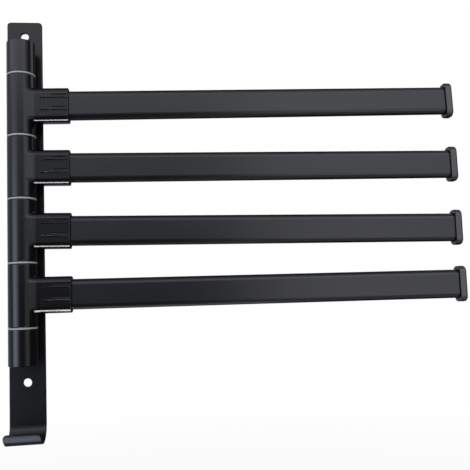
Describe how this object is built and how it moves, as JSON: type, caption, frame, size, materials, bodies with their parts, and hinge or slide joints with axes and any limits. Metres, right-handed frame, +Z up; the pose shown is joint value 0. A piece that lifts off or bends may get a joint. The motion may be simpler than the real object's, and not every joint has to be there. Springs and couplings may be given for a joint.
{
  "type": "swing arm towel bar",
  "caption": "Wall strip with a bent hook at its foot and a round post whose flat oval arms swing sideways, each on its own sleeve and each closed with an end cap.",
  "frame": {"origin": "on the wall face, midway between the two wall screw holes", "axes": "+X along the arms at rest, +Y into the wall, +Z up"},
  "size_m": [0.3742, 0.0285, 0.3403],
  "materials": {
    "strip_paint": "satin black powder coat",
    "post_end_paint": "satin black powder coat",
    "tube_paint": "satin black powder coat",
    "connector_plastic": "satin black moulding",
    "cap_plastic": "satin black moulding",
    "washer_plastic": "pale grey",
    "bush_plastic": "plain off-white",
    "bare_steel": "zinc plated",
    "dark_screw": "black oxide"
  },
  "bodies": {
    "wall_frame": {"wall_strip": "strip_paint", "upper_post_end": "post_end_paint", "lower_post_end": "post_end_paint", "upper_post_plug": "connector_plastic", "lower_post_plug": "connector_plastic", "post_end_screws": "dark_screw", "spindle": "bare_steel", "spring_washer": "bare_steel", "spindle_nut": "bare_steel", "friction_washer_1": "washer_plastic", "friction_washer_2": "washer_plastic", "friction_washer_3": "washer_plastic", "friction_washer_4": "washer_plastic", "friction_washer_5": "washer_plastic"},
    "arm_1": {"arm_hub_1": "connector_plastic", "upper_bush_1": "bush_plastic", "lower_bush_1": "bush_plastic", "arm_tube_1": "tube_paint", "end_cap_1": "cap_plastic", "arm_screw_1": "dark_screw"},
    "arm_2": {"arm_hub_2": "connector_plastic", "upper_bush_2": "bush_plastic", "lower_bush_2": "bush_plastic", "arm_tube_2": "tube_paint", "end_cap_2": "cap_plastic", "arm_screw_2": "dark_screw"},
    "arm_3": {"arm_hub_3": "connector_plastic", "upper_bush_3": "bush_plastic", "lower_bush_3": "bush_plastic", "arm_tube_3": "tube_paint", "end_cap_3": "cap_plastic", "arm_screw_3": "dark_screw"},
    "arm_4": {"arm_hub_4": "connector_plastic", "upper_bush_4": "bush_plastic", "lower_bush_4": "bush_plastic", "arm_tube_4": "tube_paint", "end_cap_4": "cap_plastic", "arm_screw_4": "dark_screw"}
  },
  "joints": [
    {"name": "arm_1_swing", "type": "hinge", "parent": "wall_frame", "child": "arm_1", "pos_m": [0, -0.0175, 0.07685], "axis": [0, 0, -1], "range_deg": [-1, 181]},
    {"name": "arm_2_swing", "type": "hinge", "parent": "wall_frame", "child": "arm_2", "pos_m": [0, -0.0175, 0.02685], "axis": [0, 0, -1], "range_deg": [-1, 181]},
    {"name": "arm_3_swing", "type": "hinge", "parent": "wall_frame", "child": "arm_3", "pos_m": [0, -0.0175, -0.02315], "axis": [0, 0, -1], "range_deg": [-1, 181]},
    {"name": "arm_4_swing", "type": "hinge", "parent": "wall_frame", "child": "arm_4", "pos_m": [0, -0.0175, -0.07315], "axis": [0, 0, -1], "range_deg": [-1, 181]}
  ]
}
